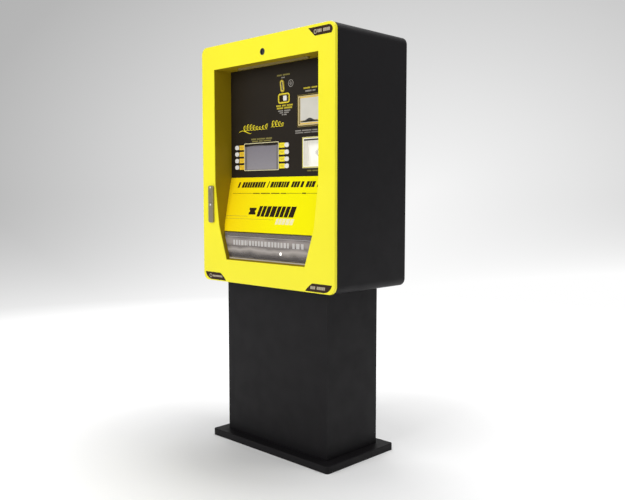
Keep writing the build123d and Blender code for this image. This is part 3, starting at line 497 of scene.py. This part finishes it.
def make_key_labels():
    """Yellow strip beside each function key, on the screen's side, with two faint dashes."""
    lap, gap = 1.5, 0.3
    screen_x0, screen_x1, _, _ = extent("display_frame")
    for side in ("left", "right"):
        strips, dashes = [], []
        for row in KEY_ROWS:
            key_x0, key_x1, _, _ = extent(f"button_{side}_{row}")
            _, z = middle(f"button_{side}_{row}")
            if side == "left":
                x0, x1 = key_x1 - lap, screen_x0 - gap
            else:
                x0, x1 = screen_x1 + gap, key_x0 + lap
            strips.append(round_box(x0, x1, z - 10, z + 10, 1.5))
            x = (x0 + x1) / 2
            dashes.append(rectangle(x - 12, x + 12, z + 2, z + 3.2))
            dashes.append(rectangle(x - 9, x + 9, z - 3, z - 1.8))
        panel_print(f"key_labels_{side}", strips, "ink_amber" if side == "left" else "ink_yellow", 0.8)
        panel_print(f"key_label_marks_{side}", dashes, "ink_olive", 0.95, 0.8)


def make_key_rings():
    """Dark moulded collar around each function key."""
    inset = 1.5
    for side in ("left", "right"):
        rings = []
        for row in KEY_ROWS:
            x0, x1, z0, z1 = extent(f"button_{side}_{row}")
            x, z = middle(f"button_{side}_{row}")
            half_w, half_h = (x1 - x0) / 2 - inset, (z1 - z0) / 2 - inset
            outer = centred_box(x, z, half_w + 2.2, half_h + 1.8, half_h + 1.7)
            inner = centred_box(x, z, half_w + 0.4, half_h + 0.4, half_h + 0.3)
            rings += band(outer, inner)
        on_face(f"key_rings_{side}", rings, PANEL, M["device_plastic"], 1.6, 0.85)


def make_screen_trim():
    """Slim bright moulding on the screen's frame, and a painted shadow: a dark wavy band under the frame's
    upper edge.
    """
    x0, x1, z0, z1 = extent("display_frame")
    proud = proud_of_panel("display_frame")
    edge = band(round_box(x0, x1, z0, z1, 2.5), round_box(x0, x1, z0, z1, 1.5, inset=2))
    on_face("screen_trim", edge, PANEL, INKS["ink_white"], proud + 0.8, proud)
    # Painted shadow of the frame's upper edge, in the panel's black.
    left, right, top = x0 + 2.5, x1 - 2.5, z1 - 2.5
    painted_shadow = [(right, top), (left, top), (left, z1 - 13)]
    painted_shadow += [(left + (right - left) * t, z1 - 15 + 5 * t + 2.5 * math.sin(t * 5.5)) for t in fractions(16)]
    on_face("screen_painted_shadow", [painted_shadow], PANEL, M["panel_black"], proud + 0.3, proud)


def flourish(x0, x1, z, height, loops, lean, tall):
    """Centre line of a looping pen stroke whose loops rise and fall; tall shifts where they are highest."""
    steps = 22
    points = []
    pitch = (x1 - x0) / loops
    for loop in range(loops):
        reach = height * (1.15 + 0.4 * math.sin(0.9 * loop + tall))
        for step in range(steps):
            turn = 2 * math.pi * step / steps
            rise = (1 - math.cos(turn)) / 2 * reach
            along = x0 + pitch * (loop + step / steps) + pitch * 0.5 * math.sin(turn)
            points.append((along + rise * lean, z + rise))
    return points


def make_flourish():
    """Hand-drawn ornament where a slogan would be: two looping strokes and an underline."""
    screen_top = extent("display_frame")[3]
    strokes = []
    for x0, x1, above, loops, tall in ((-236, -74, 56, 8, 0.3), (-54, 26, 62, 4, 1.2)):
        line = flourish(x0, x1, screen_top + above, 17, loops, 0.34, tall)
        strokes += stroke(line, pen(line, 1.5, 4.2))
    along = fractions(24)
    swash = [(-262 + 84 * t, screen_top + 50 + 7 * math.sin(math.pi * 1.6 * t)) for t in along]
    strokes += stroke(swash, [1.0 + 2.6 * math.sin(math.pi * t) for t in along])
    panel_print("slogan_flourish", strokes, "ink_yellow")


def caption(name, ink, x, z, *rows):
    """Lines of blocks about a point: each row gives left, right, foot, height, words and seed."""
    shapes = []
    for left, right, foot, height, words, seed in rows:
        shapes += block_line(x - left, x + right, z + foot, z + foot + height, words, seed)
    panel_print(name, shapes, ink)


def make_small_print():
    """Plain blocks in the places, sizes and inks of the panel's small print."""
    x, top = middle("display_frame")[0], extent("display_frame")[3]
    caption("screen_caption", "ink_olive", x, top,
            (66, 66, 13.5, 6.5, (5, 8, 6), 3), (60, 60, 4.5, 6, (7, 4, 8), 4))
    x, z = middle("coin_slot_bezel")
    caption("coin_caption", "ink_olive", x, z, (34, 42, 42, 6, (4, 6), 5))
    caption("coin_caption_small", "ink_grey", x, z, (8, 12, 32, 5, (4,), 6))
    x, z = middle("coin_return_frame")
    caption("coin_return_caption", "ink_mustard", x, z,
            (48, 50, -33, 7, (5, 4, 6), 7), (44, 46, -43, 7, (6, 7), 8))
    shorter = [(half, half, -53 - row * 8, 5, (4 - row, 5 - row), 9 + row)
               for row, half in enumerate((36, 27, 14))]
    caption("coin_return_small_print", "ink_grey", x, z, *shorter)
    x, _ = middle("note_inlet_bezel")
    _, _, foot, top = extent("note_inlet_bezel")
    caption("note_caption", "ink_mustard", x, top, (36, 40, 22, 6, (5, 4), 12))
    caption("note_caption_small", "ink_grey", x, top, (26, 30, 10, 6, (6, 3), 13))
    caption("note_small_print", "ink_grey", x, foot,
            (84, 84, -17, 5, (6, 9, 5, 7), 14), (84, 60, -25, 4, (8, 6, 9), 15))
    x, foot = middle("card_pocket")[0], extent("card_pocket")[2]
    caption("card_caption", "ink_olive", x, foot, (30, 34, -13, 5, (4, 6), 16))


def make_coin_symbol():
    """Coin pictogram: a ring with a diamond and a centre dot, to the right of the coin slot."""
    slot_x, slot_z = middle("coin_slot_bezel")
    x, z = slot_x + 48.5, slot_z + 7
    shapes = band(circle(x, z, 15), circle(x, z, 12.4))
    shapes += band(diamond(x, z, 7.5, 9), diamond(x, z, 5, 6))
    shapes.append(circle(x, z, 2, count=8))
    panel_print("coin_symbol", shapes, "ink_grey")


def make_coin_slot_rim():
    """Gold rim of the coin slot and a painted shadow in its throat, leaning like the slot itself."""
    x, z = middle("coin_slot_bezel")
    lean = math.radians(8)
    proud = proud_of_panel("coin_slot_bezel")

    def turned(shape):
        return [(x + px * math.cos(lean) - pz * math.sin(lean), z + px * math.sin(lean) + pz * math.cos(lean))
                for px, pz in shape]

    outer, inner, throat = ((7.6, 21, 7.4), (5.4, 19, 5.2), (2.3, 16.8, 2.2))
    rim = band(centred_box(0, 0, *outer), centred_box(0, 0, *inner))
    on_face("coin_slot_rim", [turned(quad) for quad in rim], PANEL, INKS["ink_yellow"],
            proud + 0.5, proud)
    # Painted shadow: a dark ring for the shade inside the slot's throat.
    throat_shadow = band(centred_box(0, 0, *inner), centred_box(0, 0, *throat))
    on_face("coin_slot_painted_shadow", [turned(quad) for quad in throat_shadow], PANEL, M["frame_trim"],
            proud + 0.2, proud)


def make_coin_return_shade_and_line():
    """Painted shade of the coin return's dark well beside its key, and the yellow line on its frame."""
    x0, x1, z0, z1 = extent("coin_return_frame")
    key_x0 = extent("coin_return_button")[0]
    x, z = middle("coin_return_frame")
    # Painted shade: a dark brown patch where the coin return's well lies in shade.
    shaded_well = round_box(x - 27, key_x0 + 0.6, z - 13, z + 13, 3)
    panel_print("coin_return_painted_shade", [shaded_well], "ink_brown", 0.4)
    proud = proud_of_panel("coin_return_frame")
    line = band(round_box(x0, x1, z0, z1, 11, inset=0.5), round_box(x0, x1, z0, z1, 9, inset=3.5))
    on_face("coin_return_line", line, PANEL, INKS["ink_yellow"], proud + 0.4, proud)


def make_note_inlet():
    """Two coloured lines in the bezel, the light throat plate and the dark curved lip of its slot."""
    x0, x1, z0, z1 = extent("note_inlet_bezel")
    x, _ = middle("note_inlet_bezel")
    face = front_of("note_inlet_bezel")
    for part, inset, width, ink in (("outer", 0.6, 4.2, "ink_gold"), ("inner", 10.5, 3.4, "ink_amber")):
        line = band(round_box(x0, x1, z0, z1, 3, inset), round_box(x0, x1, z0, z1, 2, inset + width))
        on_face(f"note_inlet_{part}_line", line, face, INKS[ink], 0.0, -0.6)
    slot_z, slot_half = z0 + 21, 4.5
    left, right, foot, top = x0 + 17.5, x1 - 17.5, z0 + 9.5, z1 - 9.5
    plate = [rectangle(left, right, slot_z + slot_half, top),
             rectangle(left, right, foot, slot_z - slot_half)]
    throat = front_of("note_inlet_bezel", inward=1.5)
    on_face("note_throat_plate", plate, throat, M["pocket_grey"], 0.6)
    along = fractions(24)
    lip = [(x - 50 + 100 * t, slot_z - 1 + 9 * math.exp(-((t - 0.5) / 0.2) ** 2)) for t in along]
    widths = [3.6 + 5.0 * math.exp(-((t - 0.5) / 0.26) ** 2) for t in along]
    on_face("note_slot_lip", stroke(lip, widths), throat, M["rubber_black"], 1.35, 0.6)


def make_card_pocket_detail():
    """Cream frame, painted shadow under its upper rim and the contactless symbol's arcs at the back of the
    pocket.
    """
    x0, x1, z0, z1 = extent("card_pocket")
    x, z = middle("card_pocket")
    face = front_of("card_pocket")
    trim = band(round_box(x0, x1, z0, z1, 2, inset=0.6), round_box(x0, x1, z0, z1, 1, inset=5))
    on_face("card_pocket_trim", trim, face, M["trim_cream"], 0.7)
    rim = 8.3
    # Painted shadow: a dark band under the pocket's upper rim.
    painted_shadow = [rectangle(x0 + rim, x1 - rim, z1 - rim - 6.2, z1 - rim)]
    on_face("card_pocket_painted_shadow", painted_shadow, face, M["rubber_black"], -0.6, -2.6)
    waves = []
    for radius in (9, 16, 23):
        waves += stroke(arc(x - 12, z, radius, -38, 38), 2.4)
    pocket_back = -27.1
    on_face("card_symbol", waves, face, INKS["ink_grey"], pocket_back + 0.4, pocket_back)


# ------------------------------------------------------------------ the sloping fascia's print
# On this face z runs up the slope, and is 0 at its upper edge.
fascia_low, fascia_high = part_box("lower_fascia")
panel_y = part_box("user_panel")[0].y
fascia_run = panel_y - fascia_low.y
foot_drop = (fascia_high.y - panel_y) * fascia_run / (fascia_high.z - fascia_low.z)
fascia_rise = fascia_high.z - (fascia_low.z + foot_drop)
FASCIA = Face((0, panel_y, fascia_high.z), up=(0, fascia_run, fascia_rise))


def fascia_print(name, shapes, ink, lift=INK_LIFT):
    on_face(name, shapes, FASCIA, INKS[ink], lift)


def make_headline():
    """Bold leaning blocks across the top of the fascia, and the fine rule under them."""
    slant, gap = 0.22, 0.22
    foot, top = -46, -21
    bold = block_line(-257, -78, foot, top, (1, 9), 21, slant, gap)
    bold += [rectangle(-66, -61, foot - 1, top + 2, 0.3)]
    bold += block_line(-47, 68, foot, top, (7,), 22, slant, gap)
    bold += block_line(80, 130, foot, top, (3,), 23, slant, gap)
    bold += block_line(134, 262, foot, top, (1, 3, 2), 24, slant, gap)
    fascia_print("headline_blocks", bold, "ink_brown")
    rule_foot, rule_top = -72.5, -71
    rule = [rectangle(-281, -150, rule_foot, rule_top)]
    rule += block_line(-146, 60, -74, -70, (5, 7, 6, 4), 25)
    rule += [rectangle(64, 150, rule_foot, rule_top)]
    rule += block_line(154, 176, -74, -69, (3,), 26)
    rule += [rectangle(180, 281, rule_foot, rule_top)]
    fascia_print("headline_rule", rule, "ink_brown")


def make_centre_mark():
    """Large generic mark: a row of leaning bars beside a ticket, with a pale line of blocks below."""
    slant, gap = 0.2, 0.2
    bars = block_line(-92, 140, -174, -128, (8,), 31, slant, gap)
    ticket = ticket_outline(-124, -151, 44, 30, 6)
    fascia_print("centre_mark", bars + [ticket], "ink_brown")
    fascia_print("centre_mark_small", block_line(32, 140, -205, -180, (5,), 32, slant, gap), "ink_white")
    # Painted reflection: two thin dark lines across the fascia's left part.
    reflection_lines = [rectangle(-300, -150, -174.4, -173.2), rectangle(-300, 20, -186.5, -185.6)]
    fascia_print("fascia_reflection_lines", reflection_lines, "ink_olive", 0.12)


# ------------------------------------------------------------------ flap, tray, badges, handle
def make_flap_print():
    """Faint white blocks across the clear flap, and painted highlights along its foot and head."""
    face = front_of("dispensing_flap")
    flap_foot = extent("dispensing_flap")[2]
    foot, top, gap = flap_foot + 63, flap_foot + 84, 0.5
    blocks = block_line(-215, -128, foot, top, (5,), 41, 0, gap)
    blocks += [rectangle(-124, -121, foot - 1, top + 1, 0.12)]
    blocks += block_line(-112, 132, foot, top, (13,), 42, 0, gap)
    blocks += block_line(152, 216, foot, top, (3,), 43, 0, gap)
    on_face("flap_print", blocks, face, M["flap_ink"], 0.12, body="dispensing_flap")
    # Painted highlights: light lines along the flap's lower and upper edges.
    edge = [rectangle(-238, 238, flap_foot + 1.5, flap_foot + 3.5),
            rectangle(-262, 262, flap_foot + 98, flap_foot + 99.2)]
    on_face("flap_edge_highlight", edge, face, M["flap_ink"], 0.12, body="dispensing_flap")


def make_tray_lamp():
    """Small round lamp on the tray's rear wall."""
    wall = 1.5
    face = Face((0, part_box("dispensing_tray")[1].y - wall * MM, 0))
    x, z = -36, extent("dispensing_tray")[2] + 28.5
    on_face("tray_lamp_bezel", band(circle(x, z, 9), circle(x, z, 6.5)), face, M["chrome"], 3)
    on_face("tray_lamp", [circle(x, z, 6.4)], face, M["lamp"], 2)


def make_lip_highlight():
    """Painted highlight: a pale line along the lip that the flap rests against."""
    lip_front = front_of("door_frame", inward=16.7)
    half_w, flap_foot = 239, extent("dispensing_flap")[2]
    lip_line = [rectangle(-half_w, half_w, flap_foot + 2.5, flap_foot + 7.2)]
    on_face("lip_highlight", lip_line, lip_front, M["lip_grey"], 0.4)


def make_badge_marks():
    """Small pale blocks on the three corner badges."""
    left, right, foot, top = extent("corner_badges")
    marks = band(round_box(right - 96, right - 82, top - 25, top - 9, 4),
                 round_box(right - 93, right - 85, top - 22, top - 12, 2))
    marks += block_line(right - 78, right - 14, top - 22, top - 10, (3, 4), 51)
    marks += block_line(right - 116, right - 36, foot + 10, foot + 22, (3, 5), 52, 0.15)
    marks += band(circle(left + 37, foot + 16, 9), circle(left + 37, foot + 16, 6))
    marks += block_line(left + 50, left + 118, foot + 12, foot + 20, (7,), 53)
    on_face("badge_marks", marks, front_of("corner_badges"), INKS["ink_badge"], 0.2)


def make_handle_highlights():
    """Painted highlight: a pale round spot at the head of each half of the handle."""
    for node in ("handle_hub", "handle_lever"):
        x, _ = middle(node)
        highlight = circle(x, extent(node)[3] - 8, 4.5)
        on_face(f"{node}_stud", [highlight], front_of(node), M["button_silver"], 0.03, -1.2, body=node)


for make in (make_key_labels, make_key_rings, make_screen_trim, make_flourish, make_small_print,
             make_coin_symbol, make_coin_slot_rim, make_coin_return_shade_and_line, make_note_inlet,
             make_card_pocket_detail, make_headline, make_centre_mark, make_flap_print, make_tray_lamp,
             make_lip_highlight, make_badge_marks, make_handle_highlights):
    make()


# ------------------------------------------------------------------ floor, backdrop, light
def grey_stops(*stops):
    return [(place, (level,) * 3) for place, level in stops]


# The backdrop is brightest in the direction SPOT and falls off with the angle from it.
SPOT_YAW = math.radians(36.5)
SPOT = (-math.sin(SPOT_YAW), math.cos(SPOT_YAW), 0.0)
SPOT_REACH = math.radians(60)
SPOT_SQUASH = 1.6
SPOT_FALL = grey_stops((0.0, 0.93), (0.2, 0.78), (0.38, 0.63), (0.55, 0.47), (1.0, 0.34))
# The floor's glow, which lifts it to white, and its own colour, by distance from the machine as a
# share of FLOOR_REACH metres.
FLOOR_REACH = 6.0
FLOOR_GLOW = grey_stops((0.08, 0.05), (0.15, 0.19), (0.23, 0.40), (0.58, 1.0))
FLOOR_PALE = grey_stops((0.20, 0.85), (0.50, 0.40), (0.80, 0.0))
# The white pool fades into the backdrop's grey beyond WHITE_POOL metres, and lies longer along y.
WHITE_POOL, POOL_FADE, POOL_STRETCH = 3.4, 1.1, 0.36


def backdrop_colour(look, direction):
    """Grey of the studio backdrop by direction: brightest around SPOT, darker away from it."""
    tall = look.vector_math("MULTIPLY", direction, (1, 1, SPOT_SQUASH))
    toward_spot = look.vector_math("DOT_PRODUCT", look.vector_math("NORMALIZE", tall), SPOT)
    angle = look.node("ShaderNodeMath", operation="ARCCOSINE")
    look.link(toward_spot, angle.inputs[0])
    return look.ramp(look.between(angle.outputs["Value"], 0, SPOT_REACH), SPOT_FALL)


def pool_share(look):
    """Share of the white pool in the floor's glow: 1 near the machine, fading with distance."""
    oval = look.vector_math("MULTIPLY", look.place, (1, POOL_STRETCH, 1))
    near = look.node("ShaderNodeMath", operation="DIVIDE")
    near.inputs[0].default_value = WHITE_POOL
    look.link(look.vector_math("LENGTH", oval), near.inputs[1])
    fade = look.node("ShaderNodeMath", operation="POWER", use_clamp=True)
    fade.inputs[1].default_value = POOL_FADE
    look.link(near.outputs["Value"], fade.inputs[0])
    return fade.outputs["Value"]


def make_floor():
    bpy.ops.mesh.primitive_plane_add(size=800, location=(0, 0, 0))
    floor = bpy.context.object
    floor.name = "floor"
    look = Shader("floor", Roughness=0.8, Emission_Strength=1.0, Specular_IOR_Level=0.0)
    distance = look.between(look.vector_math("LENGTH", look.place), 0, FLOOR_REACH)
    look.colour(look.ramp(distance, FLOOR_PALE))
    mix = look.node("ShaderNodeMix", data_type="RGBA")
    look.link(pool_share(look), mix.inputs["Factor"])
    # A mix node's colour sockets are its inputs 6 and 7 and its output 2.
    look.link(backdrop_colour(look, look.place), mix.inputs[6])
    look.link(look.ramp(distance, FLOOR_GLOW), mix.inputs[7])
    look.link(mix.outputs[2], look.shader.inputs["Emission Color"])
    floor.data.materials.append(look.material)


def area_light(name, place, target, size, power):
    data = bpy.data.lights.new(name, "AREA")
    data.shape, data.size, data.size_y = "RECTANGLE", size[0], size[1]
    data.energy = power
    light = bpy.data.objects.new(name, data)
    bpy.context.scene.collection.objects.link(light)
    light.location = place
    light.rotation_euler = (Vector(target) - Vector(place)).to_track_quat("-Z", "Y").to_euler()


class WorldShader(Shader):
    """The same node helpers on the world's background."""

    def __init__(self, name):
        world = bpy.data.worlds.new(name)
        bpy.context.scene.world = world
        world.use_nodes = True
        self.tree = world.node_tree
        self.shader = self.tree.nodes["Background"]
        self.place = self.tree.nodes.new("ShaderNodeTexCoord").outputs["Generated"]


def make_world():
    look = WorldShader("studio")
    look.link(backdrop_colour(look, look.place), look.shader.inputs["Color"])


make_floor()
make_world()
area_light("key", place=(-0.5, -4.3, 3.5), target=(0, 0, 1.1), size=(3.2, 3.2), power=126)
area_light("top", place=(0.1, 1.0, 4.2), target=(0.1, 0.6, 0), size=(5.0, 1.6), power=120)
bpy.context.scene.view_settings.view_transform = "Standard"
